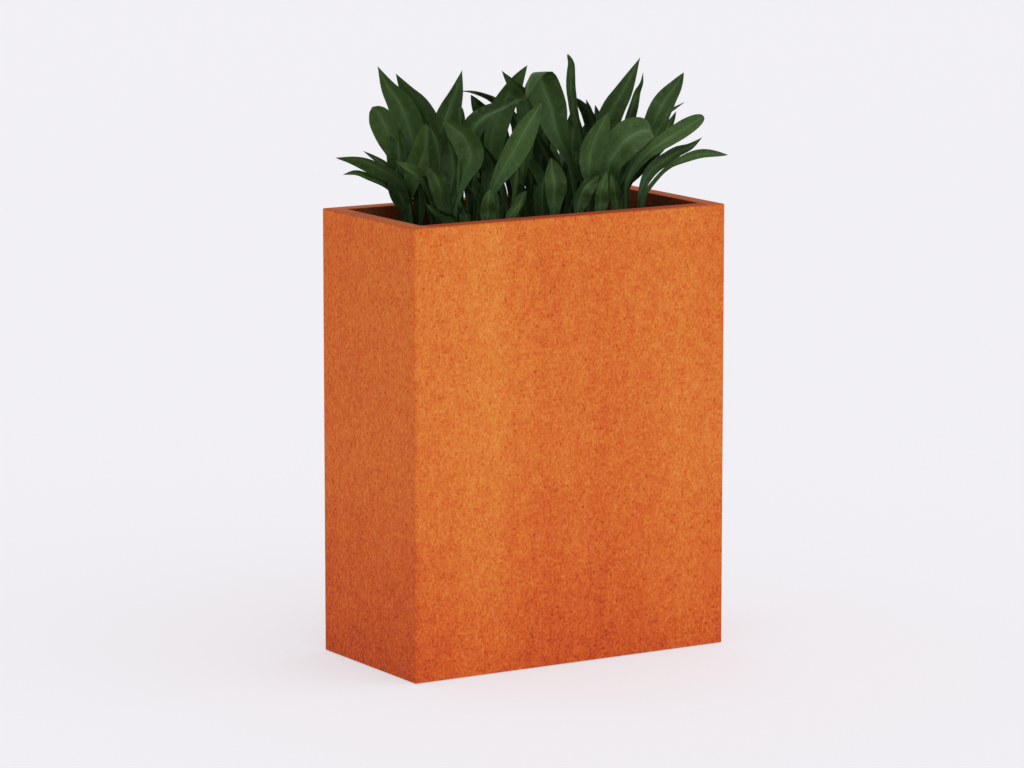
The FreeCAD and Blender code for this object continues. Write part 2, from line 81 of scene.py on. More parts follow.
# --- node helpers ---------------------------------------------------------------------------------
class Shader:
    """A node material, built one node at a time."""

    def __init__(self, name):
        self.material = bpy.data.materials.new(name)
        self.material.use_nodes = True
        self.tree = self.material.node_tree
        self.bsdf = self.tree.nodes["Principled BSDF"]

    def node(self, kind, inputs=(), **settings):
        node = self.tree.nodes.new("ShaderNode" + kind)
        for key, value in settings.items():
            setattr(node, key, value)
        for key, value in dict(inputs).items():
            self.put(node.inputs[key], value)
        return node

    def put(self, socket, value):
        if isinstance(value, bpy.types.NodeSocket):
            self.tree.links.new(value, socket)
        elif isinstance(value, tuple) and socket.type == "RGBA" and len(value) == 3:
            socket.default_value = (*value, 1.0)
        else:
            socket.default_value = value

    def set(self, **inputs):
        for key, value in inputs.items():
            self.put(self.bsdf.inputs[key.replace("_", " ")], value)

    def place(self, scale=(1, 1, 1)):
        """Object coordinates in metres, stretched by scale."""
        coords = self.node("TexCoord").outputs["Object"]
        return self.node("Mapping", {"Vector": coords, "Scale": scale}).outputs["Vector"]

    def noise(self, scale, detail=4.0, rough=0.55, stretch=(1, 1, 1)):
        inputs = {"Vector": self.place(stretch), "Scale": scale, "Detail": detail, "Roughness": rough}
        return self.node("TexNoise", inputs).outputs["Fac"]

    def ramp(self, value, *stops):
        """Maps value through (place, grey or colour) stops."""
        node = self.node("ValToRGB", {"Fac": value})
        elements = node.color_ramp.elements
        while len(elements) < len(stops):
            elements.new(0.5)
        for element, (place, colour) in zip(elements, stops):
            element.position = place
            grey = isinstance(colour, (int, float))
            element.color = (colour, colour, colour, 1) if grey else (*colour, 1)
        return node.outputs["Color"]

    def mix(self, share, a, b):
        node = self.node("Mix", data_type="RGBA")
        self.put(node.inputs[0], share)
        self.put(node.inputs[6], a)
        self.put(node.inputs[7], b)
        return node.outputs[2]

    def math(self, operation, *values):
        node = self.node("Math", operation=operation)
        for socket, value in zip(node.inputs, values):
            self.put(socket, value)
        return node.outputs[0]

    def bump(self, height, strength, distance):
        inputs = {"Height": height, "Strength": strength, "Distance": distance}
        self.put(self.bsdf.inputs["Normal"], self.node("Bump", inputs).outputs["Normal"])


# --- steel ----------------------------------------------------------------------------------------
RUST_DARK = (0.340, 0.045, 0.012)
RUST_RED = (0.600, 0.088, 0.019)
RUST = (0.690, 0.152, 0.027)
RUST_PALE = (0.750, 0.235, 0.041)
RUST_YELLOW = (0.800, 0.350, 0.080)
# painted shade: nearly black red-brown for the inner faces, which lie in shade inside the box
INSIDE_PAINTED_SHADE = (0.060, 0.011, 0.006)
# painted shade: the rim's top is darker because it takes less light than the faces
RIM_PAINTED_SHADE = (0.250, 0.056, 0.045)

# the patina's noise: scale, detail, roughness, stretch along each axis, weight in the tone
RUST_CLOUDS = (4.5, 2.0, 0.50, (1, 1, 0.70), 0.18)
RUST_RUNS = (9.0, 2.0, 0.50, (1, 1, 0.06), 0.17)
RUST_PATCHES = (30.0, 2.0, 0.55, (1, 1, 0.75), 0.22)
RUST_MOTTLE = (88.0, 1.0, 0.50, (1, 1, 0.62), 0.38)
RUST_SPECKLE = (190.0, 1.0, 0.50, (1, 1, 0.70), 0.72)
RUST_GRAIN = (420.0, 1.0, 0.50, (1, 1, 1), 0.56)
RUST_LAYERS = (RUST_CLOUDS, RUST_RUNS, RUST_PATCHES, RUST_MOTTLE, RUST_SPECKLE, RUST_GRAIN)
RUST_TONE = 0.54
# (height in metres, darkening): painted shade, darker towards the floor
BASE_PAINTED_SHADE = ((0.0, 0.28), (0.10, 0.19), (0.22, 0.12), (0.45, 0.0))
# (share of the length from the left, paling): upright bands along the wide faces, and a redder left end
BANDS = ((0.0, 0.04), (0.012, 0.15), (0.25, 0.25), (0.30, 0.14), (0.50, 0.11), (0.60, 0.07))
BANDS += ((0.70, 0.11), (0.86, 0.17), (1.0, 0.10))
BAND_MEAN = 0.10
FOLD_ZONE = 0.010
# (share of the fold's zone, darkening): a thin line just under the fold
FOLD_LINE = ((0.62, 0.0), (0.78, 0.45), (0.97, 0.45), (0.98, 0.0))
RIM_SKIN = 0.0005
# how far the rim's top goes towards the painted shade colour
RIM_SHADE_SHARE = 0.55
# share of painted shade and painted reflection of the dark leaves on the front rim's top
FRONT_RIM_PAINTED_SHADE = 0.75
INSIDE_SKIN = 0.0010
# how far the inner faces go towards the painted shade colour
INSIDE_SHADE_SHARE = 0.80


def rust_tone_and_shade(s, place):
    """How pale the rust is, from 0, dark, to 1, yellow, with painted shade towards the floor."""
    tone = RUST_TONE
    for scale, detail, rough, stretch, weight in RUST_LAYERS:
        layer = s.noise(scale, detail, rough, stretch)
        tone = s.math("MULTIPLY_ADD", s.math("SUBTRACT", layer, 0.5), weight, tone)
    spots = s.ramp(s.noise(150.0, 2.0, 0.5, (1, 1, 0.72)), (0.60, 0.0), (0.72, 0.36))
    tone = s.math("SUBTRACT", tone, spots)
    # painted shade: darker towards the floor
    tone = s.math("SUBTRACT", tone, s.ramp(place["Z"], *BASE_PAINTED_SHADE))
    share = s.math("MULTIPLY_ADD", place["X"], 1 / (HIGH.x - LOW.x), 0.5)
    tone = s.math("ADD", tone, s.ramp(share, *BANDS))
    return s.math("SUBTRACT", tone, BAND_MEAN)


def within(s, coordinate, half):
    """1 where a coordinate is less than half from the middle, else 0."""
    return s.math("LESS_THAN", s.math("ABSOLUTE", coordinate), half)


def fold_line_and_painted_shade(s, place, colour):
    """A darker line under the fold, then painted shade: a darker rim top, a darker front rim where the leaves
    overhang it, and dark inner faces.
    """
    zone = s.math("MULTIPLY_ADD", place["Z"], 1 / FOLD_ZONE, 1 - HIGH.z / FOLD_ZONE)
    colour = s.mix(s.ramp(zone, *FOLD_LINE), colour, RUST_DARK)
    # painted shade on the rim's top, which takes less light from the front than the faces do
    rim = s.math("GREATER_THAN", place["Z"], HIGH.z - RIM_SKIN)
    colour = s.mix(s.math("MULTIPLY", rim, RIM_SHADE_SHARE), colour, RIM_PAINTED_SHADE)
    # painted shade and a painted reflection of the dark leaves on the front rim's top, between the corners
    front_rim_shade = s.math("MULTIPLY", rim, s.math("LESS_THAN", place["Y"], -OPENING_Y))
    front_rim_shade = s.math("MULTIPLY", front_rim_shade, within(s, place["X"], OPENING_X))
    colour = s.mix(s.math("MULTIPLY", front_rim_shade, FRONT_RIM_PAINTED_SHADE), colour, RUST_DARK)
    # painted shade on the inner faces, inside the box
    inside_shade = within(s, place["X"], HIGH.x - HALF_SHEET)
    inside_shade = s.math("MULTIPLY", inside_shade, within(s, place["Y"], HIGH.y - HALF_SHEET))
    inside_shade = s.math("MULTIPLY", inside_shade, s.math("LESS_THAN", place["Z"], HIGH.z - INSIDE_SKIN))
    return s.mix(s.math("MULTIPLY", inside_shade, INSIDE_SHADE_SHARE), colour, INSIDE_PAINTED_SHADE)


def weathering_steel():
    """Orange rust patina: soft clouds and upright bands under a dense, slightly upright red-brown speckle,
    with painted shade at the base, on the rim and on the inner faces.
    """
    s = Shader("weathering_steel")
    place = s.node("SeparateXYZ", {"Vector": s.place()}).outputs
    tone = rust_tone_and_shade(s, place)
    stops = ((0.0, RUST_DARK), (0.28, RUST_RED), (0.50, RUST), (0.72, RUST_PALE), (1.0, RUST_YELLOW))
    colour = fold_line_and_painted_shade(s, place, s.ramp(tone, *stops))
    s.set(Base_Color=colour, Roughness=0.85, Specular_IOR_Level=0.12)
    s.bump(tone, 0.35, 0.0008)
    return s.material


def dull_steel():
    """Steel with mill scale and light rust, for what is hidden inside."""
    s = Shader("mill_scale_steel")
    clouds = s.noise(18.0, 4.0)
    colour = s.mix(s.ramp(clouds, (0.35, 0.0), (0.65, 1.0)), (0.10, 0.055, 0.035), (0.23, 0.085, 0.035))
    colour = s.mix(s.ramp(s.noise(160.0, 3.0), (0.5, 0.0), (0.7, 0.6)), colour, (0.05, 0.03, 0.025))
    s.set(Base_Color=colour, Roughness=0.7, Metallic=0.25)
    s.bump(s.noise(350.0, 3.0), 0.2, 0.0005)
    return s.material


def galvanised():
    """Zinc with its crystal spangle."""
    s = Shader("galvanised_steel")
    cells = s.node("TexVoronoi", {"Vector": s.place(), "Scale": 95.0})
    spangle = s.node("SeparateColor", {"Color": cells.outputs["Color"]}).outputs[0]
    colour = s.ramp(spangle, (0.0, (0.42, 0.44, 0.46)), (1.0, (0.60, 0.62, 0.63)))
    colour = s.mix(s.ramp(s.noise(22.0, 4.0), (0.45, 0.0), (0.75, 0.6)), colour, (0.66, 0.66, 0.65))
    rough = s.ramp(spangle, (0.0, 0.36), (1.0, 0.52))
    s.set(Base_Color=colour, Roughness=rough, Metallic=0.85)
    s.bump(spangle, 0.08, 0.0004)
    return s.material


def zinc_plated():
    """Bright zinc with a faint cloud, for bolts, nuts and stems."""
    s = Shader("zinc_plated_steel")
    cloud = s.noise(90.0, 3.0)
    colour = s.ramp(cloud, (0.3, (0.52, 0.52, 0.49)), (0.7, (0.68, 0.67, 0.62)))
    s.set(Base_Color=colour, Roughness=s.ramp(cloud, (0.3, 0.28), (0.7, 0.42)), Metallic=0.9)
    s.bump(s.noise(700.0, 2.0), 0.1, 0.0003)
    return s.material


def moulded(name, dark, light, rough):
    """Plastic or rubber: a fine moulded grain and a little dust."""
    s = Shader(name)
    dust = s.noise(40.0, 4.0)
    colour = s.ramp(dust, (0.4, dark), (0.8, light))
    s.set(Base_Color=colour, Roughness=rough, Specular_IOR_Level=0.4)
    s.bump(s.noise(1200.0, 2.0), 0.25, 0.0003)
    return s.material


def fleece():
    """Matted pale fibres."""
    s = Shader("filter_fleece")
    fibres = s.noise(500.0, 5.0, 0.7)
    s.set(Base_Color=s.ramp(fibres, (0.3, (0.55, 0.55, 0.5)), (0.7, (0.8, 0.8, 0.76))), Roughness=0.95)
    s.bump(fibres, 0.6, 0.001)
    return s.material


def granules():
    """Red-brown clay balls, with painted shade in the gaps between them."""
    s = Shader("expanded_clay")
    cells = s.node("TexVoronoi", {"Vector": s.place(), "Scale": 110.0})
    # painted shade: each cell darkens towards its border, in the gaps between the balls
    colour = s.ramp(cells.outputs["Distance"], (0.1, (0.42, 0.20, 0.11)), (0.75, (0.12, 0.05, 0.03)))
    s.set(Base_Color=colour, Roughness=0.9)
    s.bump(s.math("SUBTRACT", 1.0, cells.outputs["Distance"]), 0.8, 0.004)
    return s.material


def compost():
    """Dark, damp crumbs."""
    s = Shader("compost")
    crumbs = s.noise(260.0, 6.0, 0.7)
    dark, brown, pale = (0.010, 0.006, 0.004), (0.040, 0.024, 0.014), (0.10, 0.06, 0.035)
    colour = s.ramp(crumbs, (0.35, dark), (0.62, brown), (0.8, pale))
    s.set(Base_Color=colour, Roughness=0.95, Specular_IOR_Level=0.2)
    s.bump(crumbs, 0.8, 0.003)
    return s.material


def bark():
    """Brown fibrous bark."""
    s = Shader("bark_chip")
    fibre = s.noise(180.0, 5.0, 0.65, (1, 1, 3))
    colour = s.ramp(fibre, (0.3, (0.028, 0.013, 0.008)), (0.7, (0.115, 0.058, 0.032)))
    s.set(Base_Color=colour, Roughness=0.9, Specular_IOR_Level=0.2)
    s.bump(fibre, 0.6, 0.001)
    return s.material


# --- leaves ---------------------------------------------------------------------------------------
LEAF_DARK = (0.009, 0.025, 0.007)
LEAF_PALE = (0.052, 0.106, 0.019)
LEAF_CLOUD = (0.048, 0.098, 0.021)
LEAF_VEIN = (0.060, 0.115, 0.030)
LEAF_FLECK = (0.085, 0.150, 0.045)
LEAF_BLOT = (0.012, 0.028, 0.008)
# painted highlight: a soft pale band either side of the rib, on the crest of the fold
LEAF_PAINTED_HIGHLIGHT = (0.076, 0.148, 0.044)
# the rib's own paler green, brightened further as a painted highlight
LEAF_RIB_AND_HIGHLIGHT = (0.105, 0.185, 0.066)
# the stalks' paler bluish green, carried far up the blade as painted light over the shade of overhanging
# leaves
LEAF_STALK_AND_PAINTED_LIGHT = (0.038, 0.088, 0.038)
VEIN_TURNS = 110.0  # radians of the veins' wave across a blade
VEIN_WANDER = 3.0
VEIN_SHARE = 0.20


def leaf_green():
    """Dark green leaf with a painted highlight along the rib: UV runs across the blade and along it; tone
    differs from leaf to leaf, partly as painted light and shade.
    """
    s = Shader("strap_leaf")
    uv = s.node("UVMap", uv_map="blade").outputs["UV"]
    parts = s.node("SeparateXYZ", {"Vector": uv})
    across, along = parts.outputs["X"], parts.outputs["Y"]
    tone = s.node("Attribute", attribute_name="tone").outputs["Fac"]
    away = s.math("ABSOLUTE", s.math("SUBTRACT", across, 0.5))
    wander = s.noise(30.0, 3.0)
    turns = s.math("MULTIPLY", across, VEIN_TURNS)
    veins = s.math("SINE", s.math("MULTIPLY_ADD", wander, VEIN_WANDER, turns))
    vein = s.ramp(veins, (0.0, 0.0), (1.0, 1.0))
    green = s.mix(tone, LEAF_DARK, LEAF_PALE)
    green = s.mix(s.ramp(s.noise(18.0, 4.0, 0.6), (0.35, 0.0), (0.7, 0.45)), green, LEAF_CLOUD)
    green = s.mix(s.math("MULTIPLY", vein, VEIN_SHARE), green, LEAF_VEIN)
    green = s.mix(s.ramp(s.noise(75.0, 3.0, 0.6), (0.50, 0.0), (0.70, 0.42)), green, LEAF_FLECK)
    green = s.mix(s.ramp(s.noise(48.0, 3.0, 0.6), (0.28, 0.45), (0.48, 0.0)), green, LEAF_BLOT)
    # painted highlight along the crest of the fold beside the rib
    green = s.mix(s.ramp(away, (0.0, 0.60), (0.05, 0.46), (0.22, 0.0)), green, LEAF_PAINTED_HIGHLIGHT)
    # the pale rib: partly its own colour, partly a painted highlight
    green = s.mix(s.ramp(away, (0.0, 0.55), (0.025, 0.32), (0.06, 0.0)), green, LEAF_RIB_AND_HIGHLIGHT)
    # paler towards the base: the stalk's own colour, and painted light over the band of shade under
    # overhanging leaves
    green = s.mix(s.ramp(along, (0.0, 0.65), (0.35, 0.45), (0.70, 0.0)), green, LEAF_STALK_AND_PAINTED_LIGHT)
    s.set(Base_Color=green, Roughness=0.5, Specular_IOR_Level=0.16)
    s.bump(s.mix(0.35, vein, s.noise(60.0, 3.0)), 0.3, 0.0008)
    return s.material


STEPS = 24  # points per stretch of a spline


def spline(points, shares):
    """Points at these shares of the length of a smooth (Catmull-Rom) curve through the given ones."""
    pts = [Vector(p) for p in points]
    pts = [2 * pts[0] - pts[1], *pts, 2 * pts[-1] - pts[-2]]
    fine = []
    for a, b, c, d in zip(pts, pts[1:], pts[2:], pts[3:]):
        for k in range(STEPS):
            t = k / STEPS
            square, cube = 2 * a - 5 * b + 4 * c - d, 3 * b - a - 3 * c + d
            fine.append(0.5 * (2 * b + (c - a) * t + square * t * t + cube * t**3))
    fine.append(pts[-2])
    run = [0.0]
    for a, b in zip(fine, fine[1:]):
        run.append(run[-1] + (b - a).length)
    places = [share * run[-1] for share in shares]
    return [Vector([float(np.interp(s, run, [p[k] for p in fine])) for k in range(3)]) for s in places]


STATIONS = 34  # places along a leaf
ACROSS = 9  # points across its upper side
TIP_CROWDING = 1.35  # above 1, the places crowd towards the tip
STALK = 0.0070  # half width of a stalk at the soil
STALK_TAPER = 0.3
FOLD = 0.44  # how steeply each half of a blade rises from its rib, in radians
STALK_FOLD = 1.5  # how many times steeper it rises in the stalk
UNFOLDING = 3.0  # the blade is unfolded after 1 / UNFOLDING of its length
BLADE_THICK = 0.0009
STALK_THICK = 0.0030  # how much thicker the stalk is
EDGE_THIN = 0.7  # share of the thickness that is gone at the edges
RIPPLES = 8  # radians of the edges' ripple along a leaf
RIPPLE_SHIFT = 1.2  # by which one edge's ripple runs ahead of the other's


def blade_shape(s, taper):
    """Half width of a blade at share s of its length, 1 at its widest."""
    swell = 1.9 - 0.6 * taper
    widest = swell / (swell + taper)
    return (s / widest) ** swell * ((1 - s) / (1 - widest)) ** taper


def leaf_mesh(points, width, turn, taper, bare, seed):
    """One leaf as a closed thin solid: (vertices, faces, uv per vertex).

    turn is the plan direction of the blade's width, in degrees from +X; taper below 1 gives a rounder tip;
    bare is the share of the length that is stalk.
    """
    rng = random.Random(seed)
    shares = [1 - (1 - i / (STATIONS - 1)) ** TIP_CROWDING for i in range(STATIONS)]
    line = spline(points, shares)
    ripple, phase = 0.03 + 0.04 * rng.random(), rng.random() * 6
    verts, uvs, faces = [], [], []
    side = Vector((math.cos(math.radians(turn)), math.sin(math.radians(turn)), 0))
    ring = 2 * (ACROSS - 1)
    for i, (t, here) in enumerate(zip(shares[:-1], line)):
        along = (line[i + 1] - line[max(i - 1, 0)]).normalized()
        side = (side - along * side.dot(along)).normalized()
        up = side.cross(along).normalized()
        s = max(0.0, (t - bare) / (1 - bare))
        stalk = STALK * (1 - s) * (1 - STALK_TAPER * t)
        half = math.hypot(width / 2 * blade_shape(s, taper), stalk)
        opened = min(1.0, s * UNFOLDING)
        bend = FOLD * (STALK_FOLD + (1 - STALK_FOLD) * opened)
        thick = STALK_THICK * (1 - opened) + BLADE_THICK
        row = []
        for k in range(ACROSS):
            u = 2 * k / (ACROSS - 1) - 1
            lift = abs(u) * half * math.sin(bend)
            shift = RIPPLE_SHIFT if u > 0 else 0
            wave = ripple * half * (u * u) * math.sin(RIPPLES * t + phase + shift) * opened
            row.append((here + side * (u * half * math.cos(bend)) + up * (lift + wave), u))
        for point, u in row:
            verts.append(point)
            uvs.append((0.5 + u / 2, t))
        for point, u in reversed(row[1:-1]):
            verts.append(point - up * thick * (1 - EDGE_THIN * abs(u)))
            uvs.append((0.5 + u / 2, t))
    for i in range(STATIONS - 2):
        a, b = i * ring, (i + 1) * ring
        for k in range(ring):
            n = (k + 1) % ring
            faces.append((a + k, a + n, b + n, b + k))
    verts.append(line[-1])
    uvs.append((0.5, 1.0))
    last, tip = (STATIONS - 2) * ring, len(verts) - 1
    faces += [(last + k, last + (k + 1) % ring, tip) for k in range(ring)]
    faces.append(tuple(reversed(range(ring))))
    return verts, faces, uvs


# The leaves that show from the front: (root x, y), width, turn, taper and stalk share as leaf_mesh takes
# them, paleness from 0 to 1, and points up the leaf to its tip. The paleness paints light and shade:
# leaves that stand in shade or face away are dark, lit ones pale.
LEAVES = [
    ((-0.225, 0.09), 0.072, -18, 1.15, 0.25, 0.55, [(-0.225, 0.09, 1.02), (-0.22, 0.09, 1.075),
     (-0.235, 0.08, 1.13), (-0.25, 0.08, 1.185), (-0.28, 0.07, 1.24), (-0.315, 0.06, 1.28),
     (-0.345, 0.05, 1.325)]),
    ((-0.17, 0.115), 0.067, -48, 1.05, 0.25, 0.75, [(-0.165, 0.12, 1.04), (-0.16, 0.12, 1.1),
     (-0.165, 0.12, 1.155), (-0.175, 0.12, 1.19), (-0.205, 0.11, 1.235), (-0.235, 0.11, 1.265),
     (-0.27, 0.1, 1.3)]),
    ((-0.195, 0.08), 0.069, -9, 1.15, 0.25, 0.45, [(-0.19, 0.08, 1.045), (-0.19, 0.08, 1.1),
     (-0.175, 0.08, 1.15), (-0.165, 0.07, 1.19), (-0.15, 0.07, 1.225), (-0.14, 0.06, 1.26),
     (-0.13, 0.05, 1.305)]),
    ((-0.245, 0.06), 0.061, -39, 0.8, 0.34, 0.98, [(-0.26, 0.06, 1.005), (-0.26, 0.06, 1.025),
     (-0.26, 0.05, 1.06), (-0.25, 0.05, 1.09), (-0.235, 0.04, 1.125), (-0.235, 0.03, 1.155),
     (-0.24, 0.02, 1.195)]),
    ((-0.215, -0.05), 0.067, -22, 0.95, 0.36, 0.7, [(-0.21, -0.05, 1), (-0.2, -0.05, 1.035),
     (-0.19, -0.05, 1.075), (-0.18, -0.05, 1.1), (-0.175, -0.06, 1.125), (-0.18, -0.06, 1.15),
     (-0.2, -0.07, 1.175), (-0.225, -0.07, 1.195), (-0.255, -0.08, 1.215)]),
    ((-0.24, 0.1), 0.066, -30, 0.45, 0.25, 0.75, [(-0.25, 0.1, 1.035), (-0.26, 0.1, 1.085),
     (-0.27, 0.1, 1.13), (-0.285, 0.1, 1.16), (-0.3, 0.1, 1.19), (-0.315, 0.1, 1.215),
     (-0.33, 0.1, 1.23)]),
    ((-0.245, 0.1), 0.057, -60, 0.8, 0.28, 0.05, [(-0.255, 0.1, 1.03), (-0.26, 0.1, 1.07),
     (-0.265, 0.095, 1.11), (-0.27, 0.09, 1.14), (-0.275, 0.09, 1.17), (-0.28, 0.09, 1.195)]),
    ((-0.235, 0.075), 0.041, -21, 1.0, 0.24, 0.55, [(-0.25, 0.075, 1.005), (-0.26, 0.06, 1.03),
     (-0.31, 0.04, 1.08), (-0.39, 0.02, 1.12), (-0.44, 0, 1.135), (-0.49, -0.02, 1.14)]),
    ((-0.23, 0.09), 0.02, -10, 1.1, 0.3, 0.1, [(-0.245, 0.09, 1.03), (-0.26, 0.09, 1.06),
     (-0.285, 0.09, 1.085), (-0.31, 0.09, 1.105), (-0.33, 0.1, 1.12), (-0.355, 0.1, 1.135)]),
    ((-0.245, 0.08), 0.024, 35, 1.0, 0.2, 0.3, [(-0.26, 0.08, 1), (-0.28, 0.08, 1.025),
     (-0.32, 0.07, 1.06), (-0.38, 0.05, 1.085), (-0.41, 0.04, 1.095), (-0.445, 0.03, 1.095)]),
    ((-0.24, 0.07), 0.045, -43, 0.9, 0.28, 0.15, [(-0.255, 0.07, 0.995), (-0.27, 0.07, 1.02),
     (-0.29, 0.06, 1.055), (-0.295, 0.06, 1.08), (-0.295, 0.05, 1.105)]),
    ((-0.22, -0.02), 0.046, -28, 0.9, 0.28, 0.45, [(-0.22, -0.02, 1.005), (-0.225, -0.02, 1.03),
     (-0.235, -0.03, 1.06), (-0.25, -0.03, 1.09), (-0.28, -0.04, 1.115)]),
    ((-0.215, -0.08), 0.024, -34, 0.9, 0.2, 0.5, [(-0.23, -0.08, 0.99), (-0.255, -0.08, 1.005),
     (-0.285, -0.09, 1.02), (-0.305, -0.09, 1.035)]),
    ((-0.215, -0.11), 0.031, -64, 0.9, 0.2, 0.35, [(-0.215, -0.11, 0.995), (-0.22, -0.11, 1.015),
     (-0.235, -0.12, 1.03), (-0.24, -0.12, 1.045)]),
    ((-0.16, -0.1), 0.04, -25, 0.9, 0.26, 0.7, [(-0.155, -0.1, 0.99), (-0.155, -0.1, 1.01),
     (-0.16, -0.11, 1.035), (-0.155, -0.11, 1.06)]),
    ((-0.11, 0), 0.057, -55, 0.85, 0.32, 0.4, [(-0.105, 0, 1), (-0.1, 0, 1.025), (-0.085, 0, 1.06),
     (-0.08, 0, 1.085), (-0.095, -0.01, 1.115), (-0.125, -0.02, 1.15)]),
    ((-0.155, -0.09), 0.062, -16, 0.95, 0.32, 0.7, [(-0.15, -0.09, 1.005), (-0.14, -0.09, 1.045),
     (-0.13, -0.1, 1.08), (-0.095, -0.11, 1.14), (-0.065, -0.12, 1.195), (-0.035, -0.13, 1.245)]),
    ((-0.145, 0), 0.054, -45, 1.1, 0.25, 0.1, [(-0.145, 0, 1.07), (-0.15, 0, 1.12), (-0.14, 0, 1.16),
     (-0.13, -0.01, 1.19), (-0.105, -0.02, 1.21), (-0.07, -0.03, 1.225), (-0.045, -0.04, 1.24),
     (-0.015, -0.05, 1.245)]),
    ((-0.05, 0.06), 0.066, -7, 1.0, 0.3, 0.75, [(-0.05, 0.06, 1.055), (-0.05, 0.06, 1.105),
     (-0.05, 0.05, 1.165), (-0.035, 0.05, 1.21), (-0.015, 0.04, 1.25), (0, 0.03, 1.28),
     (0.02, 0.02, 1.31)]),
    ((0.015, 0.03), 0.05, -37, 1.1, 0.3, 0.8, [(0.015, 0.03, 1.05), (0.02, 0.03, 1.105),
     (0.025, 0.03, 1.155), (0.02, 0.02, 1.205), (0.01, 0.02, 1.245), (-0.02, 0.01, 1.27),
     (-0.045, 0, 1.29), (-0.065, -0.01, 1.305)]),
    ((0.035, 0.1), 0.032, -60, 1.0, 0.3, 0.15, [(0.04, 0.1, 1.09), (0.045, 0.1, 1.14), (0.04, 0.1, 1.18),
     (0.02, 0.1, 1.205), (-0.01, 0.09, 1.225), (-0.04, 0.08, 1.24), (-0.07, 0.08, 1.25),
     (-0.1, 0.07, 1.255), (-0.125, 0.07, 1.255)]),
    ((0, 0.09), 0.054, -28, 0.9, 0.3, 0.2, [(-0.005, 0.09, 1.065), (-0.005, 0.09, 1.115),
     (-0.015, 0.09, 1.155), (-0.035, 0.09, 1.19), (-0.06, 0.09, 1.21), (-0.09, 0.08, 1.245)]),
    ((-0.13, 0.05), 0.04, -58, 0.5, 0.3, 0.4, [(-0.13, 0.05, 1.045), (-0.13, 0.05, 1.105),
     (-0.135, 0.05, 1.15), (-0.135, 0.05, 1.19), (-0.135, 0.05, 1.225)]),
    ((-0.02, 0.09), 0.057, -19, 0.8, 0.3, 0.05, [(-0.02, 0.09, 1.045), (-0.02, 0.09, 1.09),
     (-0.015, 0.09, 1.135), (-0.015, 0.09, 1.175)]),
    ((0.125, -0.02), 0.084, -25, 0.85, 0.32, 0.6, [(0.125, -0.02, 0.99), (0.115, -0.02, 1.045),
     (0.105, -0.02, 1.095), (0.08, -0.03, 1.14), (0.06, -0.03, 1.18), (0.05, -0.03, 1.22),
     (0.03, -0.03, 1.265), (0.01, -0.04, 1.295), (-0.01, -0.05, 1.3), (-0.03, -0.065, 1.285),
     (-0.045, -0.08, 1.25)]),
    ((0.19, 0.06), 0.024, -40, 0.6, 0.3, 0.55, [(0.19, 0.06, 1.055), (0.19, 0.06, 1.1),
     (0.185, 0.06, 1.145), (0.17, 0.06, 1.185), (0.165, 0.06, 1.215), (0.16, 0.06, 1.25),
     (0.16, 0.06, 1.28), (0.16, 0.06, 1.305), (0.15, 0.06, 1.325)]),
    ((0.21, 0.09), 0.036, -25, 0.9, 0.3, 0.1, [(0.21, 0.09, 1.035), (0.205, 0.09, 1.08),
     (0.205, 0.09, 1.115), (0.21, 0.09, 1.14), (0.215, 0.09, 1.16)]),
    ((0.17, 0.07), 0.048, -55, 1.0, 0.3, 0.2, [(0.17, 0.07, 1.035), (0.17, 0.07, 1.08),
     (0.17, 0.07, 1.125), (0.175, 0.07, 1.165), (0.18, 0.07, 1.215)]),
    ((0.245, 0.09), 0.038, -55, 1.0, 0.3, 0.05, [(0.25, 0.09, 1.045), (0.25, 0.09, 1.09),
     (0.245, 0.09, 1.13), (0.235, 0.09, 1.165), (0.215, 0.08, 1.195), (0.185, 0.07, 1.22),
     (0.155, 0.06, 1.23)]),
    ((0.245, 0.1), 0.028, -55, 0.9, 0.3, 0.05, [(0.25, 0.1, 1.09), (0.245, 0.1, 1.13), (0.24, 0.1, 1.16),
     (0.235, 0.1, 1.19), (0.225, 0.1, 1.215)]),
    ((0.245, 0.11), 0.031, -16, 0.9, 0.3, 0.05, [(0.27, 0.11, 1.09), (0.265, 0.11, 1.125),
     (0.265, 0.11, 1.16), (0.26, 0.11, 1.18), (0.255, 0.11, 1.2)]),
    ((0.24, 0.05), 0.06, -31, 1.2, 0.28, 0.4, [(0.24, 0.05, 1.03), (0.24, 0.05, 1.085),
     (0.245, 0.05, 1.13), (0.245, 0.04, 1.17), (0.255, 0.03, 1.205), (0.27, 0.02, 1.235),
     (0.285, 0.01, 1.27), (0.305, 0, 1.315)]),
    ((0.245, 0.08), 0.03, -10, 1.1, 0.3, 0.3, [(0.325, 0.08, 1.04), (0.32, 0.08, 1.09),
     (0.32, 0.08, 1.125), (0.32, 0.07, 1.165), (0.325, 0.06, 1.2), (0.335, 0.06, 1.23),
     (0.34, 0.05, 1.25), (0.345, 0.05, 1.275)]),
    ((0.24, 0.03), 0.059, -22, 0.9, 0.3, 0.55, [(0.265, 0.03, 1.02), (0.295, 0.03, 1.055),
     (0.33, 0.03, 1.1), (0.35, 0.02, 1.145), (0.36, 0.01, 1.185), (0.38, 0.01, 1.215), (0.4, 0, 1.245),
     (0.415, -0.01, 1.275)]),
    ((0.175, -0.07), 0.084, -37, 0.75, 0.32, 0.65, [(0.175, -0.07, 0.995), (0.175, -0.07, 1.03),
     (0.175, -0.07, 1.065), (0.175, -0.08, 1.095), (0.19, -0.08, 1.115), (0.205, -0.09, 1.14),
     (0.235, -0.09, 1.155), (0.26, -0.09, 1.16), (0.285, -0.08, 1.155)]),
    ((0.185, -0.05), 0.06, -33, 0.8, 0.3, 0.0, [(0.185, -0.05, 1), (0.185, -0.05, 1.06),
